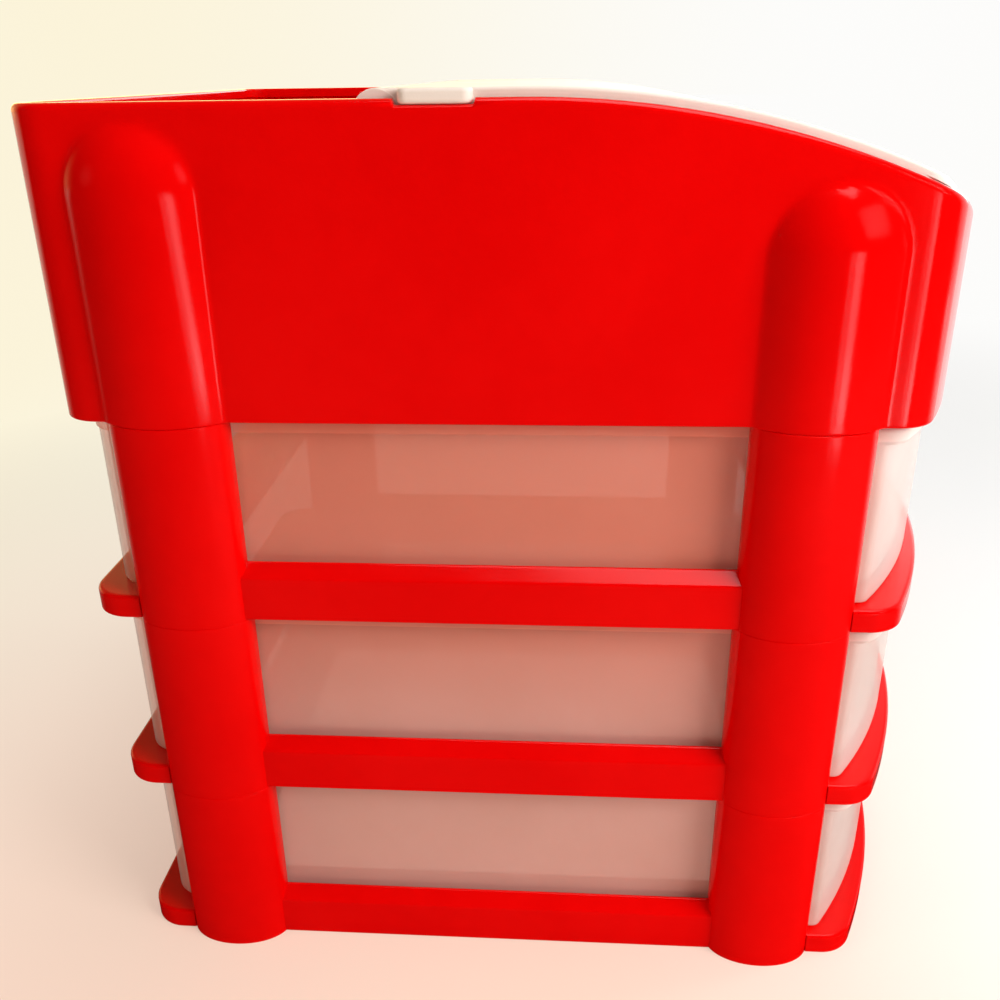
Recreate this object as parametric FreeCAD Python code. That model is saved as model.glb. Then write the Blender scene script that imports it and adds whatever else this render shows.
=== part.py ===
# Desktop drawer organizer: three stacked tiers under a lidded top bin.
# Millimetres, +Z up, drawer fronts face -Y, X runs across the width.
# The origin is at the middle of the whole footprint, on the surface the posts stand on.
# The shapes are drawn around the middle of the side posts and moved to that origin when saved.
import FreeCAD, Part
import math
import os

Vec = FreeCAD.Vector

# Tiers
TIER_NAMES = ["lower", "middle", "upper"]
tier_pitch = 47.6

# Drawers
drawer_width = 150.0
drawer_wall = 1.6
drawer_floor = 1.6
drawer_foot = 1.0
drawer_foot_width = 2.0
drawer_top_gap = 1.1
drawer_rear_y = 88.0
drawer_rear_corner = 8.0
drawer_front_apex = 109.4
drawer_front_radius = 126.0
drawer_front_corner = 3.0
drawer_rim_height = 2.5
drawer_rim_proud = 0.5
drawer_ear_overlap = 1.8
pull_height = 3.3
pull_proud = 2.7

# Side frames: two half-round posts joined by a rail
rail_thickness = 4.0
rail_outer_height = 10.7
rail_inner_height = 14.0
rail_edge_round = 0.9
post_spacing = 136.0
post_width = 25.8
post_bulge = 5.1
post_shoulder = 1.3
post_wall = 2.2
post_inner_wall = 2.0
spigot_length = 8.0
spigot_room = 1.0
spigot_plug = 3.0

# Shelves: an open tray frame with a ledge in front and behind
ledge_height = 5.5
shelf_skin = 2.2
shelf_skirt = 2.0
shelf_rear_y = 93.0
shelf_corner = 9.0
runner_width = 14.0
opening_half_depth = 72.0
opening_corner = 6.0
rib_thickness = 1.6
rib_count = 5
tab_width = 10.0
tab_height = 3.0
tab_base = 1.0
stop_width = 5.0
stop_depth = 4.0
stop_height = 0.7
stop_rear_y = -59.5

# Top bin
bin_rear_y = 92.0
bin_rear_height = 63.2
bin_wall = 2.2
bin_floor = 2.2
bin_corner = 9.0
front_apex = 110.5
front_radius = 162.8
arch_start_y = -8.0
arch_radius = 198.0
rim_width = 3.3
rim_height = 2.6
rim_round = 1.2
rear_pillar_height = 59.4
front_pillar_height = 47.5
socket_roof = 2.0

# Bin divider
divider_thickness = 1.8
divider_y = 18.5
guide_rib = 1.5
guide_depth = 2.0

# Lid
lid_skin = 1.4
lid_rise = 1.8
lid_skirt = 1.8
lid_skirt_drop = 2.6
lid_skirt_setback = 1.5
lid_ledge = 1.8
lid_ledge_reach = 5.2
lid_ledge_rear_y = 8.0
ear_front_y = 1.0
ear_notch = 1.1
hinge_y = 19.5
hinge_drop = 3.0
hinge_pin_radius = 2.0
hinge_pin_length = 2.5
hinge_swing_room = 4.4
finger_tab_width = 26.0
finger_tab_reach = 3.5

# Clearances
side_gap = 0.6
slide_gap = 0.3
seat_gap = 0.3
spigot_gap = 0.3
tab_gap = 0.25
pin_gap = 0.06
lid_side_gap = 0.5
ear_swing_gap = 0.8

# Places that follow from the sizes above
frame_inner_x = drawer_width / 2 + side_gap
frame_outer_x = frame_inner_x + rail_thickness
post_axis_x = frame_inner_x + post_shoulder
post_outer_x = frame_outer_x + post_bulge
post_radius_x = post_outer_x - post_axis_x
post_radius_y = post_width / 2
core_inner_x = frame_inner_x + post_inner_wall
core_radius_x = post_outer_x - post_wall - core_inner_x
core_radius_y = post_radius_y - post_wall
post_y = post_spacing / 2
post_front_y = -(post_y + post_radius_y)
post_rear_y = post_y + post_radius_y
bin_base_z = tier_pitch * len(TIER_NAMES)
rim_z = bin_base_z + bin_rear_height
hinge_z = rim_z - hinge_drop
barrel_radius = hinge_drop + lid_rise
socket_depth = spigot_length + spigot_room
lid_inset = rim_width + lid_side_gap
lid_half_width = frame_outer_x - lid_inset
divider_top_z = hinge_z - barrel_radius - seat_gap
ceiling_z = rim_z + lid_rise + 1.0
centre_shift_y = (front_apex + finger_tab_reach - shelf_rear_y) / 2

# Helpers for cutting: a size beyond the part, and how far a cut runs past a face
far = 400.0
past = 1.0


def box(x0, x1, y0, y1, z0, z1):
    """Make a box from its corner coordinates."""
    return Part.makeBox(x1 - x0, y1 - y0, z1 - z0, Vec(x0, y0, z0))


def mirror_x(shape):
    """Mirror a shape to the other side of the width."""
    return shape.mirror(Vec(0, 0, 0), Vec(1, 0, 0))


def line(a, b):
    return Part.LineSegment(a, b).toShape()


def arc(a, mid, b):
    return Part.Arc(a, mid, b).toShape()


def bow_corner(half_width, apex, radius, corner):
    """Find where a rounded corner meets the side line and the bowed front.

    The side line is x = half_width. The front is a circle through (0, -apex).
    Returns the two tangent points and the middle of the corner arc.
    """
    centre_y = radius - apex
    cx = half_width - corner
    cy = centre_y - math.sqrt((radius - corner) ** 2 - cx ** 2)
    scale = radius / (radius - corner)
    on_side = (half_width, cy)
    on_bow = (cx * scale, centre_y + (cy - centre_y) * scale)
    turn = (math.atan2(on_bow[1] - cy, on_bow[0] - cx)) / 2
    middle = (cx + corner * math.cos(turn), cy + corner * math.sin(turn))
    return on_side, middle, on_bow


def bowed_wire(half_width, rear_y, rear_corner, apex, radius, front_corner, z):
    """Outline with a straight rear, straight sides and a bowed front."""
    side, mid, bow = bow_corner(half_width, apex, radius, front_corner)
    diag = rear_corner * (1 - math.sqrt(0.5))
    rear_start = half_width - rear_corner
    edges = [
        line(Vec(rear_start, rear_y, z), Vec(-rear_start, rear_y, z)),
        arc(Vec(-rear_start, rear_y, z),
            Vec(-half_width + diag, rear_y - diag, z),
            Vec(-half_width, rear_y - rear_corner, z)),
        line(Vec(-half_width, rear_y - rear_corner, z), Vec(-side[0], side[1], z)),
        arc(Vec(-side[0], side[1], z), Vec(-mid[0], mid[1], z), Vec(-bow[0], bow[1], z)),
        arc(Vec(-bow[0], bow[1], z), Vec(0, -apex, z), Vec(bow[0], bow[1], z)),
        arc(Vec(bow[0], bow[1], z), Vec(mid[0], mid[1], z), Vec(side[0], side[1], z)),
        line(Vec(side[0], side[1], z), Vec(half_width, rear_y - rear_corner, z)),
        arc(Vec(half_width, rear_y - rear_corner, z),
            Vec(half_width - diag, rear_y - diag, z),
            Vec(rear_start, rear_y, z)),
    ]
    return Part.Wire(edges)


def bowed_prism(half_width, rear_y, rear_corner, apex, radius, front_corner, z0, z1):
    """Upright solid with the bowed outline."""
    wire = bowed_wire(half_width, rear_y, rear_corner, apex, radius, front_corner, z0)
    return Part.Face(wire).extrude(Vec(0, 0, z1 - z0))


def body_prism(inset, z0, z1):
    """The outline shared by the top bin, taken in by an inset."""
    return bowed_prism(frame_outer_x - inset, bin_rear_y - inset, bin_corner - inset,
                       front_apex - inset, front_radius - inset, bin_corner - inset, z0, z1)


def rounded_box(half_x, y0, y1, corner, z0, z1):
    """Box centred on x = 0 with rounded upright edges."""
    block = box(-half_x, half_x, y0, y1, z0, z1)
    uprights = [e for e in block.Edges if abs(e.tangentAt(e.FirstParameter).z) > 0.9]
    return block.makeFillet(corner, uprights)


def half_oval(axis_x, radius_x, radius_y, y, z0, z1, back_x):
    """Upright half-oval bar that bulges towards +X from a straight back."""
    top = Vec(axis_x, y + radius_y, z0)
    bottom = Vec(axis_x, y - radius_y, z0)
    oval = Part.Ellipse(top, Vec(axis_x + radius_x, y, z0), Vec(axis_x, y, z0))
    edges = [Part.ArcOfEllipse(oval, 0, math.pi).toShape()]
    if axis_x - back_x > 1e-6:
        edges.append(line(bottom, Vec(back_x, y - radius_y, z0)))
        edges.append(line(Vec(back_x, y - radius_y, z0), Vec(back_x, y + radius_y, z0)))
        edges.append(line(Vec(back_x, y + radius_y, z0), top))
    else:
        edges.append(line(bottom, top))
    wire = Part.Wire(Part.__sortEdges__(edges))
    return Part.Face(wire).extrude(Vec(0, 0, z1 - z0))


def post_shape(y, z0, z1):
    return half_oval(post_axis_x, post_radius_x, post_radius_y, y, z0, z1, frame_inner_x)


def core_shape(y, z0, z1, gap=0.0):
    """Hollow of a post, or with a gap the spigot that enters it."""
    return half_oval(core_inner_x + gap, core_radius_x - 2 * gap, core_radius_y - gap,
                     y, z0, z1, core_inner_x + gap)


def domed_bar(radius_x, radius_y, y, z0, top_z):
    """Upright oval bar with a domed top, centred on the post axis.

    A round bar with a ball end is squeezed across X to the oval section.
    """
    neck_z = top_z - radius_y
    outline = [
        line(Vec(0, 0, z0), Vec(radius_y, 0, z0)),
        line(Vec(radius_y, 0, z0), Vec(radius_y, 0, neck_z)),
        arc(Vec(radius_y, 0, neck_z),
            Vec(radius_y * math.sqrt(0.5), 0, neck_z + radius_y * math.sqrt(0.5)),
            Vec(0, 0, top_z)),
        line(Vec(0, 0, top_z), Vec(0, 0, z0)),
    ]
    bar = Part.Face(Part.Wire(outline)).revolve(Vec(0, 0, 0), Vec(0, 0, 1), 360)
    squeeze = FreeCAD.Matrix()
    squeeze.A11 = radius_x / radius_y
    bar = bar.transformGeometry(squeeze)
    bar.translate(Vec(post_axis_x, y, 0))
    return bar


def below_arch(offset):
    """Everything under the arched top line of the bin, moved out by an offset.

    The line is level at the rear and bends down to the front on a circle.
    """
    radius = arch_radius + offset
    top = rim_z + offset
    centre_z = rim_z - arch_radius
    front_y = -(front_apex + finger_tab_reach + bin_corner)
    reach = arch_start_y - front_y
    sweep = math.asin(reach / radius)
    end = Vec(0, front_y, centre_z + radius * math.cos(sweep))
    mid = Vec(0, arch_start_y - radius * math.sin(sweep / 2), centre_z + radius * math.cos(sweep / 2))
    start = Vec(0, arch_start_y, top)
    edges = [
        line(Vec(0, far, 0), Vec(0, far, top)),
        line(Vec(0, far, top), start),
        arc(start, mid, end),
        line(end, Vec(0, front_y, 0)),
        line(Vec(0, front_y, 0), Vec(0, far, 0)),
    ]
    slab = Part.Face(Part.Wire(edges)).extrude(Vec(2 * far, 0, 0))
    slab.translate(Vec(-far, 0, 0))
    return slab


def make_side_frame(z0, side):
    """Side frame of one tier: two posts, the rail between them and the spigots."""
    z1 = z0 + tier_pitch
    frame = rail_bar(z0)
    for y in (-post_y, post_y):
        frame = frame.fuse(post_shape(y, z0, z1))
    for y in (-post_y, post_y):
        frame = frame.cut(core_shape(y, z0, z1 - spigot_plug))
        slot_half = tab_width / 2 + tab_gap
        frame = frame.cut(box(frame_inner_x - tab_gap, core_inner_x + tab_gap,
                              y - slot_half, y + slot_half,
                              z0 + tab_base - tab_gap, z0 + tab_base + tab_height + tab_gap))
        frame = frame.fuse(core_shape(y, z1 - spigot_plug, z1 + spigot_length, spigot_gap))
    frame = frame.removeSplitter()
    return frame if side > 0 else mirror_x(frame)


def rail_bar(z0):
    """Rail with a sloped top that rises towards the drawer."""
    half = post_y - post_radius_y / 2
    profile = [
        Vec(frame_inner_x, -half, z0),
        Vec(frame_outer_x, -half, z0),
        Vec(frame_outer_x, -half, z0 + rail_outer_height),
        Vec(frame_inner_x, -half, z0 + rail_inner_height),
    ]
    bar = Part.Face(Part.makePolygon(profile + [profile[0]])).extrude(Vec(0, 2 * half, 0))
    crest = [e for e in bar.Edges
             if abs(e.CenterOfMass.x - frame_outer_x) < 1e-6
             and abs(e.CenterOfMass.z - z0 - rail_outer_height) < 1e-6
             and abs(e.CenterOfMass.y) < 1e-6]
    return bar.makeFillet(rail_edge_round, crest)


def make_shelf(z0):
    """Open tray frame: front and rear ledges, side runners, tabs and drawer stops."""
    top = z0 + ledge_height
    shelf = bowed_prism(frame_outer_x, shelf_rear_y, shelf_corner, front_apex, front_radius,
                        shelf_corner, z0, top)
    runner_x = frame_inner_x - seat_gap
    for side in (1, -1):
        notch = box(runner_x, far, post_front_y - seat_gap, post_rear_y + seat_gap,
                    z0 - past, top + past)
        shelf = shelf.cut(notch if side > 0 else mirror_x(notch))
    shelf = shelf.cut(rounded_box(runner_x - runner_width, -opening_half_depth,
                                  opening_half_depth, opening_corner, z0 - past, top + past))
    shelf = shelf.cut(ledge_pockets(z0))
    for side in (1, -1):
        for y in (-post_y, post_y):
            tab = box(runner_x - past, core_inner_x - tab_gap, y - tab_width / 2, y + tab_width / 2,
                      z0 + tab_base, z0 + tab_base + tab_height)
            shelf = shelf.fuse(tab if side > 0 else mirror_x(tab))
        stop_x = drawer_width / 2 - drawer_rear_corner - seat_gap - stop_width / 2
        stop = box(stop_x - stop_width / 2, stop_x + stop_width / 2,
                   stop_rear_y - stop_depth, stop_rear_y, top - past, top + stop_height)
        shelf = shelf.fuse(stop if side > 0 else mirror_x(stop))
    return shelf.removeSplitter()


def ledge_pockets(z0):
    """Hollow underside of the two ledges, with ribs left standing across it."""
    roof = z0 + ledge_height - shelf_skin
    inside = bowed_prism(frame_outer_x - shelf_skirt, shelf_rear_y - shelf_skirt,
                         shelf_corner - shelf_skirt, front_apex - shelf_skirt,
                         front_radius - shelf_skirt, shelf_corner - shelf_skirt, z0 - past, roof)
    inner_y = opening_half_depth + shelf_skirt
    half = frame_inner_x - seat_gap - shelf_skirt
    pockets = None
    step = 2 * half / (rib_count + 1)
    for y0, y1 in ((-far, -inner_y), (inner_y, far)):
        for k in range(rib_count + 1):
            x0 = -half + k * step + (rib_thickness / 2 if k > 0 else 0)
            x1 = -half + (k + 1) * step - (rib_thickness / 2 if k < rib_count else 0)
            cell = inside.common(box(x0, x1, y0, y1, z0 - past, roof))
            pockets = cell if pockets is None else pockets.fuse(cell)
    return pockets


def drawer_prism(inset, z0, z1, half_width=drawer_width / 2 - drawer_rim_proud):
    """Upright solid with the outline of the drawer's wall, taken in by an inset."""
    return bowed_prism(half_width - inset, drawer_rear_y - inset, drawer_rear_corner - inset,
                       drawer_front_apex - inset, drawer_front_radius - inset,
                       drawer_front_corner, z0, z1)


def make_drawer(z0):
    """Drawer tub with a bowed front, corner ears, a rim and a pull lip."""
    base = z0 + ledge_height + slide_gap
    top = z0 + tier_pitch - drawer_top_gap
    ear_half = drawer_width / 2 + drawer_ear_overlap
    in_front = box(-far, far, -far, post_front_y - seat_gap, base - past, top + past)
    tub = drawer_prism(0, base, top)
    tub = tub.fuse(drawer_prism(0, base, top, ear_half).common(in_front))
    tub = tub.fuse(drawer_prism(-drawer_rim_proud, top - drawer_rim_height, top))
    lip = bowed_prism(ear_half, drawer_rear_y, drawer_rear_corner, drawer_front_apex + pull_proud,
                      drawer_front_radius + pull_proud, drawer_front_corner + pull_proud,
                      top - pull_height, top)
    tub = tub.fuse(lip.common(in_front))
    tub = tub.cut(drawer_prism(drawer_wall, base + drawer_foot + drawer_floor, top + past))
    tub = tub.cut(drawer_prism(drawer_foot_width, base - past, base + drawer_foot))
    return tub.removeSplitter()


def make_top_bin():
    """Top bin: bowed tub with an arched rim, four domed pillars and lid seats."""
    z0 = bin_base_z
    body = bin_body()
    bin_shape = body.copy()
    room = body_prism(bin_wall, z0 + bin_floor, ceiling_z)
    socket_top = z0 + socket_depth + socket_roof
    for side in (1, -1):
        for y, height in ((post_y, rear_pillar_height), (-post_y, front_pillar_height)):
            pillar = domed_bar(post_radius_x, post_radius_y, y, z0, z0 + height)
            hollow = domed_bar(post_radius_x - post_wall, post_radius_y - post_wall, y,
                               socket_top, z0 + height - post_wall)
            seat = box(frame_inner_x, frame_outer_x, y - post_radius_y, y + post_radius_y,
                       z0, socket_top)
            if side < 0:
                pillar, hollow, seat = mirror_x(pillar), mirror_x(hollow), mirror_x(seat)
            bin_shape = bin_shape.fuse(pillar)
            room = room.cut(seat).fuse(hollow)
    bin_shape = bin_shape.cut(room)
    for side in (1, -1):
        for y in (-post_y, post_y):
            socket = core_shape(y, z0 - past, z0 + socket_depth)
            bin_shape = bin_shape.cut(socket if side > 0 else mirror_x(socket))
    bin_shape = bin_shape.fuse(bin_rim(body)).fuse(lid_ledge_ring())
    for side in (1, -1):
        for piece in (divider_guides(), hinge_boss()):
            bin_shape = bin_shape.fuse(piece if side > 0 else mirror_x(piece))
        for hole in (ear_notch_cut(), hinge_socket()):
            bin_shape = bin_shape.cut(hole if side > 0 else mirror_x(hole))
    return bin_shape.removeSplitter()


def bin_body():
    """Solid block of the bin under its arched top line, with the upper outer edge rounded."""
    block = body_prism(0, bin_base_z, ceiling_z).common(below_arch(0))
    upper = [e for e in block.Edges
             if e.BoundBox.ZMin > bin_base_z + past
             and abs(e.CenterOfMass.y - arch_start_y) > past]
    return block.makeFillet(rim_round, upper)


def bin_rim(body):
    """Thicker band along the top edge of the bin wall."""
    band = body.cut(body_prism(rim_width, bin_base_z - past, ceiling_z + past))
    return band.cut(below_arch(-rim_height))


def lid_ledge_ring():
    """Ledge inside the side and front walls that carries the lid's skirt."""
    top = -(lid_skirt_drop + seat_gap)
    ring = body_prism(bin_wall / 2, bin_base_z, ceiling_z)
    ring = ring.cut(body_prism(bin_wall + lid_ledge_reach, bin_base_z - past, ceiling_z + past))
    ring = ring.common(box(-far, far, -far, lid_ledge_rear_y, bin_base_z, ceiling_z))
    return ring.common(below_arch(top)).cut(below_arch(top - lid_ledge))


def divider_guides():
    """Two upright ribs that hold one end of the divider."""
    wall_x = frame_outer_x - bin_wall / 2
    inner_x = frame_outer_x - bin_wall - guide_depth
    half = divider_thickness / 2 + tab_gap
    rear = box(inner_x, wall_x, divider_y + half, divider_y + half + guide_rib,
               bin_base_z + bin_floor / 2, divider_top_z)
    front = box(inner_x, wall_x, divider_y - half - guide_rib, divider_y - half,
                bin_base_z + bin_floor / 2, divider_top_z)
    return rear.fuse(front)


def hinge_boss():
    """Round pad on the inside of the side wall around the hinge pin."""
    x0 = lid_half_width + lid_side_gap
    return Part.makeCylinder(barrel_radius - lid_rise, frame_outer_x - bin_wall / 2 - x0,
                             Vec(x0, hinge_y, hinge_z), Vec(1, 0, 0))


def hinge_socket():
    """Blind hole for the lid's pin."""
    x0 = lid_half_width + lid_side_gap
    depth = hinge_pin_length - lid_side_gap + seat_gap
    return Part.makeCylinder(hinge_pin_radius + pin_gap, depth + past,
                             Vec(x0 - past, hinge_y, hinge_z), Vec(1, 0, 0))


def ear_notch_cut():
    """Shallow notch in the rim where the lid's ear lies over the wall."""
    ear_rear_y = hinge_y - hinge_swing_room
    return box(lid_half_width, far, ear_front_y - seat_gap, ear_rear_y + ear_swing_gap,
               rim_z - ear_notch, ceiling_z)


def make_divider():
    """Loose upright plate between the open rear room and the lidded front room."""
    half = frame_outer_x - bin_wall - seat_gap
    return box(-half, half, divider_y - divider_thickness / 2, divider_y + divider_thickness / 2,
               bin_base_z + bin_floor, divider_top_z)


def make_lid():
    """Arched lid: skin, skirt, rolled rear edge, ears, pins and finger tab."""
    plan = body_prism(lid_inset, bin_base_z, ceiling_z)
    tab = rounded_box(finger_tab_width / 2, -(front_apex + finger_tab_reach), -front_apex / 2,
                      finger_tab_reach, bin_base_z, ceiling_z)
    sheet = below_arch(lid_rise).cut(below_arch(lid_rise - lid_skin))
    lid = plan.fuse(tab).common(front_of_hinge()).common(sheet)
    lid = lid.fuse(lid_skirt_ring()).fuse(rolled_edge())
    for side in (1, -1):
        for piece in (hinge_cheek(), hinge_pin(), lid_ear()):
            lid = lid.fuse(piece if side > 0 else mirror_x(piece))
    return lid.removeSplitter()


def front_of_hinge():
    """Everything in front of the hinge line."""
    return box(-far, far, -far, hinge_y, 0, ceiling_z)


def skirt_prism(inset):
    """Outline of the lid's skirt. It is set back in front so that it clears the rim when it swings."""
    front = lid_inset + lid_skirt_setback + inset
    corner = bin_corner - lid_inset - inset
    return bowed_prism(lid_half_width - inset, bin_rear_y, corner, front_apex - front,
                       front_radius - front, corner, bin_base_z, ceiling_z)


def lid_skirt_ring():
    """Skirt under the lid's sides and front that stands inside the bin wall."""
    ring = skirt_prism(0).cut(skirt_prism(lid_skirt)).common(front_of_hinge())
    return ring.common(below_arch(lid_rise - lid_skin / 2)).cut(below_arch(-lid_skirt_drop))


def rolled_edge():
    """Rear edge of the lid, rolled down around the hinge line."""
    start = -lid_half_width
    outer = Part.makeCylinder(barrel_radius, 2 * lid_half_width, Vec(start, hinge_y, hinge_z),
                              Vec(1, 0, 0))
    inner = Part.makeCylinder(barrel_radius - lid_skin, 2 * (lid_half_width + past),
                              Vec(start - past, hinge_y, hinge_z), Vec(1, 0, 0))
    rear = box(-far, far, hinge_y, far, hinge_z, far)
    return outer.cut(inner).common(rear)


def hinge_cheek():
    """Round cheek at the end of the rolled edge that carries the pin."""
    return Part.makeCylinder(barrel_radius, lid_skirt,
                             Vec(lid_half_width - lid_skirt, hinge_y, hinge_z), Vec(1, 0, 0))


def hinge_pin():
    return Part.makeCylinder(hinge_pin_radius, lid_skirt / 2 + hinge_pin_length,
                             Vec(lid_half_width - lid_skirt / 2, hinge_y, hinge_z), Vec(1, 0, 0))


def lid_ear():
    """Flat ear that lies over the bin wall in front of the hinge."""
    return box(lid_half_width - lid_skirt / 2, frame_outer_x - seat_gap,
               ear_front_y, hinge_y - hinge_swing_room,
               rim_z - ear_notch + seat_gap, rim_z + lid_rise)


def save(shape, name):
    """Move one piece to the shared origin, write it and report its solids and volume."""
    shape.translate(Vec(0, centre_shift_y, 0))
    shape.exportStep("parts/" + name + ".step")
    print(name, "solids", len(shape.Solids), "valid", shape.isValid(),
          "volume cm3", round(shape.Volume / 1000, 2))


def main():
    os.makedirs("parts", exist_ok=True)
    for index, tier in enumerate(TIER_NAMES):
        z0 = index * tier_pitch
        save(make_shelf(z0), tier + "_shelf")
        save(make_side_frame(z0, -1), tier + "_left_frame")
        save(make_side_frame(z0, 1), tier + "_right_frame")
        save(make_drawer(z0), tier + "_drawer")
    save(make_top_bin(), "top_bin")
    save(make_divider(), "bin_divider")
    save(make_lid(), "top_lid")
    travel = drawer_rear_y - drawer_foot_width - stop_rear_y - seat_gap
    print("drawer travel", round(travel, 2), "hinge y", round(hinge_y + centre_shift_y, 2),
          "hinge z", round(hinge_z, 2))


main()
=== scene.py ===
"""Looks of the desk-top drawer organizer: three frosted drawers in a red frame under a lidded bin.

Shapes are worked out in millimetres, with the posts centred on the origin as in the CAD
source, and become metres in the row frame when their mesh is made.
"""

import logging
import math
from dataclasses import dataclass, field
from enum import Enum
from typing import Any, Sequence

import bpy
import numpy as np
from mathutils import Matrix, Vector


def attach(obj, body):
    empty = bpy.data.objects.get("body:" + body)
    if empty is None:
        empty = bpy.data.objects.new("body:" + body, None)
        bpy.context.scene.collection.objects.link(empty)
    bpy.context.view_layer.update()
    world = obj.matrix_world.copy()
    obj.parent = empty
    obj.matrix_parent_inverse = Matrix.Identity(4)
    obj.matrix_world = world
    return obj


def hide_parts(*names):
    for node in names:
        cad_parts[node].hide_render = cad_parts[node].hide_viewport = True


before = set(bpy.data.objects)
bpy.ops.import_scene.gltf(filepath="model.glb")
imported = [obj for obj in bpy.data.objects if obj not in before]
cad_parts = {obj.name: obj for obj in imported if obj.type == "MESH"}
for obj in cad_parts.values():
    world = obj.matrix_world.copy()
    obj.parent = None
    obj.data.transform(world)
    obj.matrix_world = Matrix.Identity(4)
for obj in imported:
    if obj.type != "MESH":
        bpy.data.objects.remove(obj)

log = logging.getLogger("organizer")

Span = tuple[float, float]
Colour = tuple[float, float, float, float]

# One millimetre in metres, the way from the posts' middle to the row frame's origin, and
# the height of a tier.
MM = 0.001
SHIFT_Y = 10.5
TIER_PITCH = 47.6
TIERS = {"lower": 0.0, "middle": TIER_PITCH, "upper": 2 * TIER_PITCH}

# Half the width and the corner radius of the lid's finger tab, for which every outline
# has points, so that all outlines stay in step.
TAB_HALF = 13.0
TAB_CORNER = 3.5

# Points round a full circle, and the turn in degrees past which an edge stays sharp.
CIRCLE_POINTS = 40
SHARP_TURN = 40.0


class Slot(Enum):
    """Material slots of the record."""

    RED = "red_plastic"
    FROSTED = "frosted_plastic"
    LID = "lid_plastic"


class Axis(Enum):
    """Direction that a section is carried in, as the order its columns take."""

    X = (2, 0, 1)
    Y = (1, 2, 0)


# ---------------------------------------------------------------- shape tools


@dataclass(frozen=True)
class Shell:
    """A closed skin: its points and its faces."""

    points: np.ndarray
    faces: tuple[np.ndarray, ...]

    def mirrored(self) -> "Shell":
        """The same skin on the other side of x = 0."""
        return Shell(self.points * (-1, 1, 1), tuple(f[..., ::-1] for f in self.faces))

    def moved(self, y: float = 0.0, z: float = 0.0) -> "Shell":
        """The same skin in another place."""
        return Shell(self.points + (0, y, z), self.faces)

    def turned(self, axis: Axis) -> "Shell":
        """The same skin with its height laid along an axis."""
        return Shell(self.points[:, list(axis.value)], self.faces)

    @staticmethod
    def joined(shells: Sequence["Shell"]) -> "Shell":
        """Several skins as one.

        Args:
            shells: The skins to put together.

        Returns:
            One skin that holds them all.
        """
        starts = np.cumsum([0] + [len(s.points) for s in shells])
        faces = [f + start for s, start in zip(shells, starts) for f in s.faces]
        return Shell(np.concatenate([s.points for s in shells]), tuple(faces))


def skin(grid: np.ndarray, loop: bool = False) -> Shell:
    """Stretch a skin over a stack of rings.

    Face (i, j) joins points j and j + 1 of ring i to those of ring i + 1.

    Args:
        grid: Points as rings x points x 3. Rings run counter-clockwise seen from the
            end that the stack goes to.
        loop: Whether the last ring joins the first. Otherwise both ends are closed flat.

    Returns:
        The closed skin, facing outward.
    """
    rings, count = grid.shape[:2]
    number = np.arange(rings * count).reshape(rings, count)
    low = number if loop else number[:-1]
    high = np.roll(number, -1, axis=0) if loop else number[1:]
    quads = np.stack([low, np.roll(low, -1, 1), np.roll(high, -1, 1), high], -1)
    faces: list[np.ndarray] = [quads.reshape(-1, 4)]
    if not loop:
        faces += [number[:1, ::-1], number[-1:]]
    return Shell(grid.reshape(-1, 3), tuple(faces))


# Half the angle at a corner, in radians, past which it counts as straight.
STRAIGHT = 1.57


def rounded(corners: Sequence[Sequence[float]], steps: int = 5) -> np.ndarray:
    """Round the corners of a path.

    Each corner with a radius r becomes an arc about the point that lies r from both of
    its edges. It takes up at most 0.44 of the shorter edge, and r shrinks to suit. One
    more point stands before and after the arc to keep the flats flat: a quarter of the
    arc's reach further out, or a tenth of the shorter edge where the arc fills more than
    0.3 of it. A corner that doesn't turn gets as many points along its line.

    Args:
        corners: Each corner's coordinates followed by its radius.
        steps: Pieces in each arc.

    Returns:
        The path's points, with as many for each rounded corner.
    """
    data = np.array(corners, float)
    place, radius = data[:, :-1], data[:, -1]
    path: list[np.ndarray] = []
    for i, (here, r) in enumerate(zip(place, radius)):
        if r <= 0:
            path.append(here[None])
            continue
        back, on = place[i - 1] - here, place[(i + 1) % len(place)] - here
        room = min(np.linalg.norm(back), np.linalg.norm(on))
        back, on = back / np.linalg.norm(back), on / np.linalg.norm(on)
        half = math.acos(np.clip(back @ on, -1, 1)) / 2
        if half > STRAIGHT:
            path.append(here + np.linspace(-r, r, steps + 3)[:, None] * on)
            continue
        reach = min(r / math.tan(half), 0.44 * room)
        r = reach * math.tan(half)
        centre = here + (back + on) / np.linalg.norm(back + on) * (r / math.sin(half))
        first, last = here + back * reach - centre, here + on * reach - centre
        sweep = math.pi - 2 * half
        t = np.linspace(0, 1, steps + 1)[:, None]
        arc = (np.sin((1 - t) * sweep) * first + np.sin(t * sweep) * last) / math.sin(sweep)
        hold = 1 + 0.1 * room / max(reach, 0.1) if reach > 0.3 * room else 1.25
        before, after = here + back * reach * hold, here + on * reach * hold
        path += [before[None], centre + arc, after[None]]
    return np.concatenate(path)


def level(plan: np.ndarray, height: float | np.ndarray) -> np.ndarray:
    """Lift plan points to a height."""
    return np.column_stack([plan, np.broadcast_to(height, len(plan))])


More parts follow.
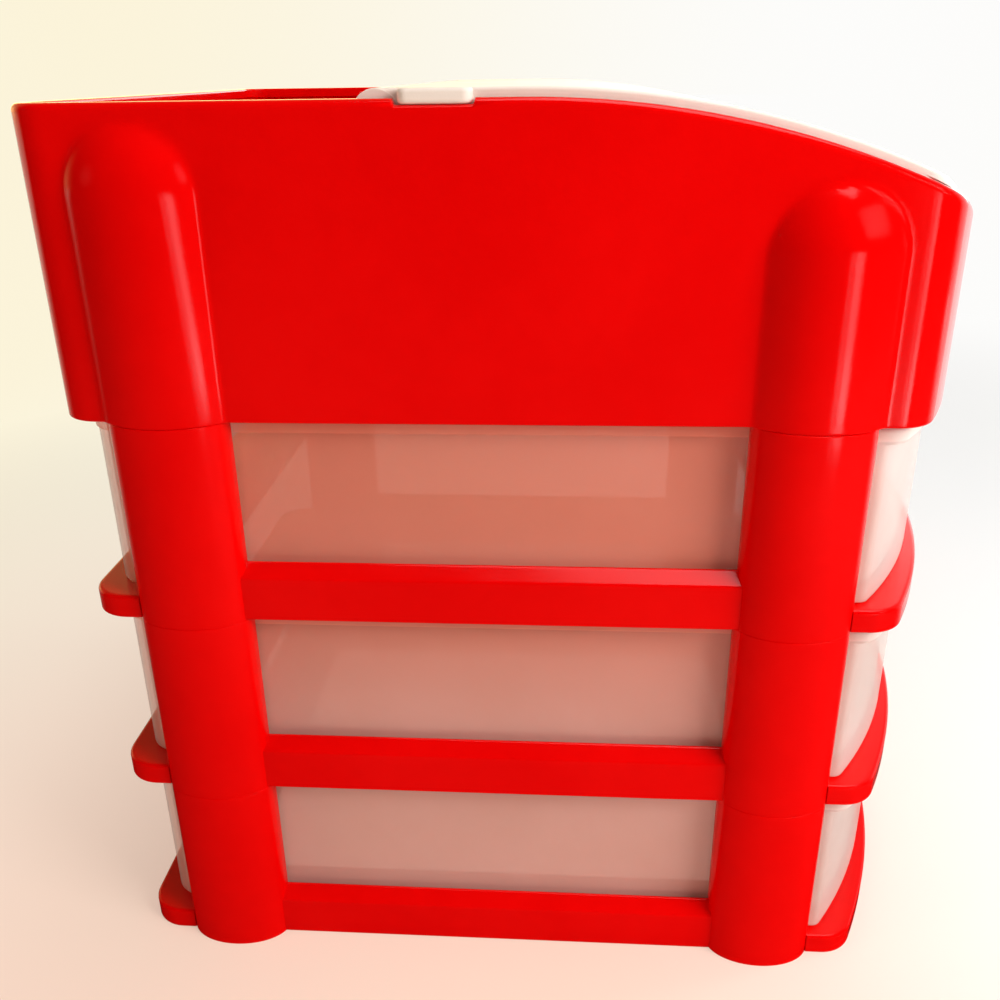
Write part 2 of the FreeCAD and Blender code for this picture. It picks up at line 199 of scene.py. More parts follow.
@dataclass(frozen=True)
class Bow:
    """Plan outline with a straight rear, straight sides and a bowed front."""

    half_width: float
    rear: float
    rear_corner: float
    apex: float
    radius: float
    corner: float
    stations: tuple[float, ...]

    def inset(self, inward: float, front: float | None = None) -> "Bow":
        """Move the outline in, square to itself.

        Args:
            inward: Distance that the sides and the rear move in.
            front: Distance that the front moves in, when it differs.

        Returns:
            The new outline, with its points in step with this one's.
        """
        ahead = inward if front is None else front
        return Bow(self.half_width - inward, self.rear - inward,
                   max(self.rear_corner - inward, 0.1), self.apex - ahead,
                   self.radius - ahead, max(self.corner - ahead, 0.1), self.stations)

    def points(self) -> np.ndarray:
        """Work out the outline.

        The front is a circle of the given radius through (0, -apex). Each front corner
        is a circle that touches it and the side line x = half_width. The side has a point
        at each station, and each rear corner is a quarter circle.

        Returns:
            Plan points, counter-clockwise seen from above, from the middle of the front.
        """
        centre = self.radius - self.apex
        cx = self.half_width - self.corner
        cy = centre - math.sqrt((self.radius - self.corner) ** 2 - cx**2)
        turn = math.atan2(cx, centre - cy)
        tab = TAB_HALF - TAB_CORNER + TAB_CORNER * np.sin(np.linspace(0, np.pi / 2, 7))
        touch = self.radius * math.sin(turn)
        x = np.concatenate([[0, 3, 6.5], tab, [13.1, 14], np.linspace(17, touch, 20)])
        bend = np.linspace(turn, np.pi / 2, 12)[1:]
        back = np.linspace(0, np.pi / 2, 12)
        side = np.array(self.stations)
        right = np.concatenate([
            np.column_stack([x, centre - np.sqrt(self.radius**2 - x**2)]),
            np.column_stack([np.sin(bend), -np.cos(bend)]) * self.corner + (cx, cy),
            np.column_stack([np.full_like(side, self.half_width), side]),
            np.column_stack([np.cos(back), np.sin(back)]) * self.rear_corner
            + (self.half_width - self.rear_corner, self.rear - self.rear_corner),
            [[self.half_width / 2, self.rear], [0, self.rear]],
        ])
        return np.concatenate([right, right[-2:0:-1] * (-1, 1)])


@dataclass(frozen=True)
class Arch:
    """Top line of the bin seen from the side: level at the rear, bending down in front."""

    start_y: float = -8.0
    radius: float = 198.0
    top: float = 206.0

    def height(self, y: np.ndarray, offset: float | np.ndarray = 0.0) -> np.ndarray:
        """Height of the line at y, moved out square to itself by an offset.

        Args:
            y: Places along the side.
            offset: Distance outward.

        Returns:
            The heights: a circle in front of start_y, and level behind it.
        """
        ahead = np.minimum(y - self.start_y, 0)
        return self.top - self.radius + np.sqrt((self.radius + offset) ** 2 - ahead**2)


def oval_bar(plan: np.ndarray, path: np.ndarray) -> Shell:
    """Carry a plan along a path of insets and heights.

    Each ring is the plan shrunk about its middle until each side lies in by the inset.

    Args:
        plan: Convex plan points, counter-clockwise.
        path: Rows of inset and height.

    Returns:
        The closed bar.
    """
    middle = (plan.min(0) + plan.max(0)) / 2
    size = (plan.max(0) - plan.min(0)) / 2
    scale = 1 - path[:, None, :1] / size
    flat = middle + (plan - middle) * scale
    height = np.broadcast_to(path[:, None, 1:], (*flat.shape[:2], 1))
    return skin(np.concatenate([flat, height], 2))


def slab(x: Span, y: Span, z: Span, corner: float, edge: float) -> Shell:
    """Upright block: a rounded rectangle carried up a path that rounds its edges.

    Args:
        x: Its two sides.
        y: Its front and rear.
        z: Its bottom and top.
        corner: Radius of the upright corners.
        edge: Radius of the edges round its top and bottom.

    Returns:
        The closed block.
    """
    plan = rounded([(x[0], y[0], corner), (x[1], y[0], corner),
                    (x[1], y[1], corner), (x[0], y[1], corner)], 3)
    deep = min(x[1] - x[0], y[1] - y[0]) * 0.4
    return oval_bar(plan, rounded([(deep, z[0], 0), (0, z[0], edge), (0, z[1], edge),
                                   (deep, z[1], 0)], 3))


def circle() -> np.ndarray:
    """Points of a circle of radius 1: the cosine and sine of equal turns."""
    turn = np.linspace(0, 2 * np.pi, CIRCLE_POINTS, endpoint=False)
    return np.column_stack([np.cos(turn), np.sin(turn)])


def disc(radius: float, start: float, end: float, y: float, z: float) -> Shell:
    """Round bar along X: a circle carried along a path that softens its ends.

    Args:
        radius: Its radius.
        start: Where it starts in x.
        end: Where it ends in x.
        y: Place of its axis.
        z: Height of its axis.

    Returns:
        The closed bar.
    """
    deep, edge = radius * 0.6, 0.25
    path = rounded([(deep, start, 0), (0, start, edge), (0, end, edge), (deep, end, 0)], 3)
    return oval_bar(radius * circle(), path).turned(Axis.X).moved(y=y, z=z)


# -------------------------------------------------------------------- shading

# Where the outputs that are read stand in their nodes: the place on the object in Texture
# Coordinate, and the two kinds of ray in Light Path.
OBJECT_PLACE = 3
EYE_RAY, MIRROR_RAY = 0, 3

# Where the colour inputs stand in a Mix node, and the inputs of a Mix Shader.
MIX_SHARE, MIX_FIRST, MIX_SECOND = 0, 6, 7
SHARE, FIRST, SECOND = 0, 1, 2


class Wire:
    """A value in a shader, which the usual operators work on."""

    def __init__(self, shader: "Shader", socket: bpy.types.NodeSocket) -> None:
        """Keep the shader and the socket that the value comes from."""
        self.shader = shader
        self.socket = socket

    def math(self, operation: str, *others: Any, first: bool = True) -> "Wire":
        """Combine the value with others.

        Args:
            operation: Name of the Math node's operation.
            others: Other values or numbers.
            first: Whether this value comes before the others.

        Returns:
            The result.
        """
        order = (self, *others) if first else (*others, self)
        made = self.shader.node("ShaderNodeMath", {"operation": operation},
                                dict(enumerate(order)))
        return made[0]

    def __add__(self, other: Any) -> "Wire":
        """Sum."""
        return self.math("ADD", other)

    def __mul__(self, other: Any) -> "Wire":
        """Product."""
        return self.math("MULTIPLY", other)

    def __sub__(self, other: Any) -> "Wire":
        """Difference."""
        return self.math("SUBTRACT", other)

    def __rsub__(self, other: Any) -> "Wire":
        """Difference the other way round."""
        return self.math("SUBTRACT", other, first=False)

    __radd__ = __add__
    __rmul__ = __mul__

    def ramp(self, low: float, high: float) -> "Wire":
        """Rise smoothly from 0 at low to 1 at high.

        Args:
            low: Value that gives 0.
            high: Value that gives 1.

        Returns:
            The smooth step.
        """
        return self.shader.node("ShaderNodeMapRange", {"interpolation_type": "SMOOTHSTEP"},
                                {"Value": self, "From Min": low, "From Max": high})[0]

    def band(self, rise: Span, fall: Span) -> "Wire":
        """Rise smoothly from 0 to 1 over one span and fall back over another."""
        return self.ramp(*rise) * (1 - self.ramp(*fall))


class Shader:
    """Builds the nodes of one material or of the world."""

    def __init__(self, tree: bpy.types.NodeTree) -> None:
        """Start from an empty tree."""
        self.tree = tree
        tree.nodes.clear()

    def node(self, kind: str, settings: dict[str, Any] | None = None,
             values: dict[Any, Any] | None = None) -> list[Wire]:
        """Make a node.

        Args:
            kind: Its type.
            settings: Its properties by name.
            values: What its inputs take, by name or number: numbers, colours or wires.

        Returns:
            Its outputs.
        """
        made = self.tree.nodes.new(kind)
        for name, value in (settings or {}).items():
            setattr(made, name, value)
        for name, value in (values or {}).items():
            if isinstance(value, Wire):
                self.tree.links.new(value.socket, made.inputs[name])
            else:
                made.inputs[name].default_value = value
        return [Wire(self, socket) for socket in made.outputs if socket.enabled]

    def place(self) -> Wire:
        """Place on the object, in metres."""
        return self.node("ShaderNodeTexCoord")[OBJECT_PLACE]

    def axes(self, vector: Wire) -> list[Wire]:
        """The three parts of a vector."""
        return self.node("ShaderNodeSeparateXYZ", None, {"Vector": vector})

    def rays(self) -> tuple[Wire, Wire]:
        """Whether a ray comes from the eye, and whether it comes from a reflection."""
        kinds = self.node("ShaderNodeLightPath")
        return kinds[EYE_RAY], kinds[MIRROR_RAY]

    def noise(self, scale: float, detail: float = 2.0) -> Wire:
        """Soft noise from 0 to 1 over the place on the object.

        Args:
            scale: Features per metre.
            detail: How many finer layers it has.

        Returns:
            The noise.
        """
        return self.node("ShaderNodeTexNoise", None,
                         {"Vector": self.place(), "Scale": scale, "Detail": detail})[0]

    def blend(self, factor: Any, a: Any, b: Any) -> Wire:
        """Mix two colours.

        Args:
            factor: Share of b.
            a: First colour.
            b: Second colour.

        Returns:
            The mixed colour.
        """
        return self.node("ShaderNodeMix", {"data_type": "RGBA"},
                         {MIX_SHARE: factor, MIX_FIRST: a, MIX_SECOND: b})[0]

    def scaled(self, colour: Wire, amount: Wire) -> Wire:
        """Colour times an amount."""
        return self.node("ShaderNodeVectorMath", {"operation": "SCALE"},
                         {"Vector": colour, "Scale": amount})[0]

    def mixed(self, factor: Wire, a: Wire, b: Wire) -> Wire:
        """Surface that shows a, and as much of b as the factor says."""
        return self.node("ShaderNodeMixShader", None, {SHARE: factor, FIRST: a, SECOND: b})[0]

    def bump(self, height: Wire, distance: float) -> Wire:
        """Turn a height from 0 to 1 into a normal, with 1 standing for the distance in metres."""
        return self.node("ShaderNodeBump", None, {"Height": height, "Distance": distance})[0]


@dataclass(frozen=True)
class PaintedRedGlow:
    """Painted red glow on a drawer's side walls behind its front, standing in for the frame's red
    light, with its spans in metres.
    """

    colour: Colour
    behind_front: Span = (-0.078, -0.062)
    height: Span = (0.05, 0.11)
    low_share: float = 0.56
    wall: Span = (0.0715, 0.0735)
    inner_share: float = 0.3

    def share(self, sh: Shader) -> Wire:
        """How much of the painted red glow shows.

        It starts behind the front, grows from the low share to all of it with height, and
        falls to the inner share inside the walls.

        Args:
            sh: The shader that it is made in.

        Returns:
            The share.
        """
        x, y, z = sh.axes(sh.place())
        high = self.low_share + z.ramp(*self.height) * (1 - self.low_share)
        beside = self.inner_share + x.math("ABSOLUTE").ramp(*self.wall) * (1 - self.inner_share)
        return y.ramp(*self.behind_front) * high * beside


@dataclass(frozen=True)
class Finish:
    """Moulded plastic, with the values that a finish of its own changes.

    The scales are features per metre, the depths and the rim's span metres.
    """

    slot: Slot
    colour: Colour
    deep: Colour
    roughness: float
    roughness_spread: float
    cloud: float = 28.0
    spots: float = 210.0
    grain: float = 2600.0
    wave: float = 46.0
    grain_depth: float = 0.00001
    wave_depth: float = 0.00006
    tint: Span = (0.30, 0.72)
    refraction: float = 1.49
    specular: float = 0.5
    alpha: float = 1.0
    alpha_spread: float = 0.06
    rim: Span = (0.0435, 0.0441)
    rim_alpha: float = 0.0
    # Painted red glow on a drawer's side walls, standing in for the frame's red light.
    painted_red_glow: PaintedRedGlow | None = None

    def opacity(self, sh: Shader, cloud: Wire) -> Wire:
        """How much light the plastic stops: more in clouds, and most along a drawer's rim.

        Args:
            sh: The shader that it is made in.
            cloud: The slow noise.

        Returns:
            The opacity.
        """
        up = sh.axes(sh.place())[2].math("MODULO", TIER_PITCH * MM)
        thick = up.ramp(*self.rim) * self.rim_alpha
        return self.alpha + (cloud - 0.5) * self.alpha_spread + thick

    def material(self) -> bpy.types.Material:
        """Build the material once.

        Returns:
            Plastic with slow changes of colour and gloss, a fine grain and a slight wave.
        """
        known = bpy.data.materials.get(self.slot.value + "_look")
        if known:
            return known
        made = bpy.data.materials.new(self.slot.value + "_look")
        made.use_nodes = True
        sh = Shader(made.node_tree)
        cloud = sh.noise(self.cloud, 3.0)
        spots = sh.noise(self.spots)
        share = (cloud * 0.75 + spots * 0.25).ramp(*self.tint)
        colour = sh.blend(share, self.deep, self.colour)
        # On the drawers, the side walls get a painted red glow for the frame's red light.
        if self.painted_red_glow:
            colour = sh.blend(self.painted_red_glow.share(sh), colour, self.painted_red_glow.colour)
        rough = self.roughness + (cloud - 0.5) * self.roughness_spread
        rough = rough + (spots - 0.5) * (self.roughness_spread * 0.4)
        height = sh.noise(self.grain, 1.0) * (self.grain_depth / self.wave_depth)
        height = height + sh.noise(self.wave, 1.0)
        values: dict[Any, Any] = {
            "Base Color": colour, "Roughness": rough, "IOR": self.refraction,
            "Specular IOR Level": self.specular,
            "Normal": sh.bump(height, self.wave_depth),
        }
        if self.alpha < 1:
            values["Alpha"] = self.opacity(sh, cloud)
        shader = sh.node("ShaderNodeBsdfPrincipled", None, values)[0]
        sh.node("ShaderNodeOutputMaterial", None, {"Surface": shader})
        made.diffuse_color = self.colour
        return made


RED = Finish(Slot.RED, colour=(0.80, 0.0006, 0.0005, 1), deep=(0.74, 0.0003, 0.0003, 1),
             roughness=0.12, roughness_spread=0.06, specular=0.28)
# The frosted drawers carry a painted red glow on their side walls, for the frame's red light.
FROSTED = Finish(Slot.FROSTED, colour=(0.92, 0.80, 0.74, 1), deep=(0.90, 0.74, 0.66, 1),
                 roughness=0.42, roughness_spread=0.14, grain_depth=0.00002, alpha=0.42,
                 rim_alpha=0.2, painted_red_glow=PaintedRedGlow((1.0, 0.30, 0.19, 1)))
LID = Finish(Slot.LID, colour=(0.98, 0.87, 0.77, 1), deep=(0.97, 0.83, 0.72, 1),
             roughness=0.40, roughness_spread=0.12, grain_depth=0.00002, alpha=0.84)


def add_piece(name: str, shells: Sequence[Shell], finish: Finish, body: str,
              nodes: Sequence[str]) -> None:
    """Make one piece of the object.

    Args:
        name: The piece's name.
        shells: Its skins, in millimetres.
        finish: Its finish.
        body: The body it rides on.
        nodes: The CAD nodes it stands for.
    """
    whole = Shell.joined(shells)
    mesh = bpy.data.meshes.new(name)
    faces = [face for part in whole.faces for face in part.tolist()]
    mesh.from_pydata((whole.points + (0, SHIFT_Y, 0)) * MM, [], faces)
    mesh.shade_smooth()
    mesh.set_sharp_from_angle(angle=math.radians(SHARP_TURN))
    mesh.materials.append(finish.material())
    obj = bpy.data.objects.new(name, mesh)
    bpy.context.scene.collection.objects.link(obj)
    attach(obj, body)
    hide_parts(*nodes)
    log.info("%s: %d points, %d faces on %s", name, len(whole.points), len(faces), body)


# ----------------------------------------------------------------- the object

# Places along y where a side has a point: close together where it bends or bulges, and a
# pair at each step or notch.
SHELF_STATIONS = (-80.4, -80.1, *np.linspace(-77, -8, 24).tolist(), -4.0, 0.5, 0.9, 4.0,
                  7.7, 8.0, 12.0, 15.7, 16.1, *np.linspace(20, 77, 14).tolist(), 80.1, 80.4)
BIN_STATIONS = (*np.linspace(-83.8, -52, 46).tolist(), *np.linspace(-50, -8, 12).tolist(), -4.0,
                0.5, 0.9, 4.0, 7.7, 8.0, 12.0, 15.7, 16.1, *np.linspace(20, 50, 7).tolist(),
                *np.linspace(52, 82.8, 45).tolist())
DRAWER_STATIONS = (-81.2, -80.9, *np.linspace(-76, 76, 20).tolist())
LID_STATIONS = (-81.2, -80.9, *np.linspace(-77, -8, 24).tolist(), -4.0, 2.0, 10.0)
BIN_OUTLINE = Bow(79.6, 92.0, 9.0, 110.5, 162.8, 9.0, BIN_STATIONS)

# A drawer has the section of its front from this far ahead of the posts' middle.
STEP_Y = 81.05


@dataclass(frozen=True)
class SideFrame:
    """Side frame of a tier: two half-oval posts and the rail between them."""

    axis_x: float = 76.9
    back_x: float = 75.6
    radius_x: float = 7.8
    radius_y: float = 12.9
    post_y: float = 68.0
    wall: float = 2.1
    plug: float = 3.0
    edge: float = 0.3
    foot_edge: float = 0.1
    rail_outer: float = 10.7
    rail_inner: float = 14.0
    rail_thickness: float = 4.0
    rail_set_back: float = 0.06
    back_draft: float = 0.01
    bulge_points: int = 41

    def oval(self) -> np.ndarray:
        """Half-oval plan of the right posts: half an ellipse with a straight back behind it.

        Returns:
            Plan points, counter-clockwise.
        """
        t = np.linspace(-np.pi / 2, np.pi / 2, self.bulge_points)
        bulge = np.column_stack([self.axis_x + self.radius_x * np.cos(t),
                                 self.radius_y * np.sin(t)])
        end = self.radius_y - self.back_draft
        return np.concatenate([bulge, [[self.back_x, end], [self.back_x, -end]]])

    def post(self, z0: float) -> Shell:
        """One post, hollow from below.

        The path runs from the middle of the plug down the inside, up the outside and over
        the top.

        Args:
            z0: Bottom of the tier.

        Returns:
            The post, about y = 0.
        """
        z1 = z0 + TIER_PITCH
        deep = 4.0
        path = rounded([(deep, z1 - self.plug, 0), (self.wall, z1 - self.plug, 0),
                        (self.wall, z0, 0), (0, z0, self.foot_edge), (0, z1, self.edge),
                        (deep, z1, 0)])
        return oval_bar(self.oval(), path)

    def rail(self, z0: float) -> Shell:
        """The rail: a section that rises towards the drawer, carried from post to post.

        Args:
            z0: Bottom of the tier.

        Returns:
            The rail, with its back set back a little from the posts' own.
        """
        x0, x1 = self.back_x + self.rail_set_back, self.back_x + self.rail_thickness
        section = rounded([(z0, x0, 0.3), (z0 + self.rail_inner, x0, 0.5),
                           (z0 + self.rail_outer, x1, 0.9), (z0, x1, 0.45)])
        half = self.post_y - self.radius_y / 2
        rings = np.stack([level(section, y) for y in (-half, half)])
        return skin(rings).turned(Axis.Y)

    def shells(self, z0: float) -> list[Shell]:
        """All skins of the right-hand frame."""
        return [self.rail(z0), *(self.post(z0).moved(y=y) for y in (-self.post_y, self.post_y))]

    def build(self) -> None:
        """Make the six frames."""
        for tier, z0 in TIERS.items():
            right = self.shells(z0)
            add_piece(f"{tier}_right_frame_look", right, RED, "cabinet", [f"{tier}_right_frame"])
            add_piece(f"{tier}_left_frame_look", [s.mirrored() for s in right], RED, "cabinet",
                      [f"{tier}_left_frame"])


@dataclass(frozen=True)
class Shelf:
    """Open tray frame under each drawer: front and rear ledges joined by side runners."""

    outline: Bow = field(default_factory=lambda: Bow(79.6, 93.0, 9.0, 110.5, 162.8, 9.0,
                                                     SHELF_STATIONS))
    height: float = 5.5
    step_y: float = 80.25
    runner_x: float = 75.3
    opening: tuple[float, float, float] = (61.3, 72.0, 6.0)
    roof: float = 3.3
    skirt: float = 2.0
    flat: float = 3.0
    closed_roof: float = 0.05
    rib: float = 1.6
    rib_step: float = 24.43
    rib_base: float = 0.2
    rib_top: float = 3.8
    rib_gap: float = 1.2
    rib_reach: float = 73.0
    stop_x: float = 64.2
    stop_half: float = 2.5
    stop_y: Span = (-63.5, -59.5)
    stop_base: float = 4.5
    stop_rise: float = 0.7

    def outer(self, inset: float, stepped: bool = True) -> np.ndarray:
        """Outline with the notches for the side frames.

        Args:
            inset: How far it is taken in.
            stepped: Whether the ledges stand out past the notches.

        Returns:
            Plan points.
        """
        plan = self.outline.inset(inset).points()
        beside = (np.abs(self.outline.points()[:, 1]) < self.step_y) | (not stepped)
        limit = np.where(beside, self.runner_x - inset, math.inf)
        plan[:, 0] = np.clip(plan[:, 0], -limit, limit)
        return plan

    def inner(self, outset: float) -> np.ndarray:
        """Opening: each outline point pulled to the nearest place of a rounded rectangle.

        Args:
            outset: How much larger than the opening it is.

        Returns:
            Plan points in step with the outline's.
        """
        plan = self.outline.points()
        x, y, corner = self.opening
        core = np.clip(plan, (-x + corner, -y + corner), (x - corner, y - corner))
        away = plan - core
        return core + away / np.linalg.norm(away, axis=1)[:, None] * (corner + outset)

    def shells(self, z0: float) -> list[Shell]:
        """Skins of the shelf.

        The section runs up the outside, over the top and down the opening, then back
        across the hollow underside of the ledges.

        Args:
            z0: Bottom of the tier.

        Returns:
            The frame, its ribs and its drawer stops.
        """
        ledge = np.abs(self.outline.points()[:, 1]) > self.step_y
        roof = np.where(ledge, self.roof, self.closed_roof)
        up = rounded([(self.skirt, 0, 0), (0, 0, 0.35), (0, self.height, 0.9),
                      (self.flat, self.height, 0)])
        down = rounded([(4.0, self.height, 0), (0, self.height, 0.5), (0, 0, 0.3), (1.9, 0, 0)])
        rings = [level(self.outer(d), h) for d, h in up[1:-1]]
        rings.append(level(self.outer(self.flat, stepped=False), self.height))
        rings += [level(self.inner(d), h) for d, h in down]
        rings += [level(self.inner(self.skirt), roof),
                  level(self.outer(self.skirt + 1, stepped=False), roof),
                  level(self.outer(self.skirt), roof), level(self.outer(self.skirt), 0.0)]
        made = [skin(np.stack(rings), loop=True), *self.ribs(), *self.stops()]
        return [s.moved(z=z0) for s in made]

    def ribs(self) -> list[Shell]:
        """Ribs under both ledges.

        Those in front follow the bow: at x it lies back by the radius less the root of
        the radius squared less x squared.

        Returns:
            Five ribs in front and five behind.
        """
        made = []
        high = (self.rib_base, self.rib_top)
        rear = (self.rib_reach, self.outline.rear - self.rib_gap)
        for x in np.arange(-2, 3) * self.rib_step:
            bow = math.sqrt(self.outline.radius**2 - x * x) - self.outline.radius
            front = (-(self.outline.apex + bow) + self.rib_gap, -self.rib_reach)
            wide = (x - self.rib / 2, x + self.rib / 2)
            made += [slab(wide, deep, high, 0.2, 0.1) for deep in (front, rear)]
        return made

    def stops(self) -> list[Shell]:
        """The two bumps that a drawer's foot meets when it is right out."""
        high = (self.stop_base, self.height + self.stop_rise)
        return [slab((x - self.stop_half, x + self.stop_half), self.stop_y, high, 0.8, 0.3)
                for x in (-self.stop_x, self.stop_x)]

    def build(self) -> None:
        """Make the three shelves."""
        for tier, z0 in TIERS.items():
            add_piece(f"{tier}_shelf_look", self.shells(z0), RED, "cabinet", [f"{tier}_shelf"])


@dataclass(frozen=True)
class Drawer:
    """Frosted tub with a bowed front, corner ears, a rim and a pull lip."""

    outline: Bow = field(default_factory=lambda: Bow(74.5, 88.0, 8.0, 109.4, 126.0, 3.0,
                                                     DRAWER_STATIONS))
    ear: float = 2.3
    wall: float = 1.6
    base: float = 5.8
    floor: float = 8.4
    top: float = 46.5
    lip: float = 2.7
    lip_height: float = 3.3
    rim: float = 0.5
    rim_height: float = 2.5
    foot_width: float = 2.0
    foot_height: float = 1.0
    middle: float = 5.0

    def shells(self, z0: float) -> list[Shell]:
        """Skin of the tub.

        Two sections are carried round the outline: one for the sides and the rear, and
        one for the front, where the ears and the lip stand out.

        Args:
            z0: Bottom of the tier.

        Returns:
            The tub.
        """
        inside, foot, wide = self.base + self.foot_height, self.base, self.foot_width
        middle, wall, floor, top = self.middle, self.wall, self.floor, self.top
        rim, lip, ear = top - self.rim_height, top - self.lip_height, self.ear
        back = rounded([
            (middle, inside, 0), (wide, inside, 0.2), (wide, foot, 0.2), (0, foot, 0.8),
            (0, rim, 0.15), (-self.rim, rim, 0.15), (-self.rim, top, 0.45),
            (wall, top, 0.45), (wall, floor, 1.8), (middle, floor, 0)])
        front = rounded([
            (middle, middle, inside, 0), (wide, wide, inside, 0.2), (wide, wide, foot, 0.2),
            (0, -ear, foot, 0.8), (0, -ear, lip, 0.4), (-self.lip, -ear, lip, 0.7),
            (-self.lip, -ear, top, 0.9), (wall, wall, top, 0.5), (wall, wall, floor, 1.8),
            (middle, middle, floor, 0)])
        ahead = self.outline.points()[:, 1] < -STEP_Y
        rings = []
        for (d, h), (f, s, z) in zip(back, front):
            plan = np.where(ahead[:, None], self.outline.inset(s, f).points(),
                            self.outline.inset(d).points())
            rings.append(level(plan, np.where(ahead, z, h)))
        return [skin(np.stack(rings)).moved(z=z0)]

    def build(self) -> None:
        """Make the three drawers."""
        for tier, z0 in TIERS.items():
            add_piece(f"{tier}_drawer_look", self.shells(z0), FROSTED, f"{tier}_drawer_body",
                      [f"{tier}_drawer"])


@dataclass(frozen=True)
class Pillar:
    """Half-oval bar with a domed top that stands out of the bin wall."""

    y: float
    top: float
    axis_x: float = 76.9
    radius_x: float = 7.8
    radius_y: float = 12.9

    def surface(self, y: np.ndarray, z: np.ndarray, inward: float = 0.0) -> np.ndarray:
        """Place of the bar's surface in x over a wall.

        It is an ellipse across the bar and up its dome. Past its foot the surface goes on
        along its tangent, so that it can be joined softly to the wall.

        Args:
            y: Places along the wall.
            z: Heights.
            inward: How much smaller the bar is.

        Returns:
            Distance from the middle of the object.
        """
        deep, wide = self.radius_x - inward, self.radius_y - inward
        neck = self.top - self.radius_y
        left = 1 - ((y - self.y) / wide) ** 2 - (np.maximum(z - neck, 0) / wide) ** 2
        foot = 0.05
        rise = np.sqrt(np.maximum(left, foot)) + np.minimum(left - foot, 0) / (2 * foot**0.5)
        return self.axis_x + deep * rise


def soft_max(a: np.ndarray | float, b: np.ndarray, reach: float) -> np.ndarray:
    """Larger of two values, with the change between them drawn out over a reach."""
    near = np.maximum(reach - np.abs(a - b), 0) / reach
    return np.maximum(a, b) + near**2 * reach / 4


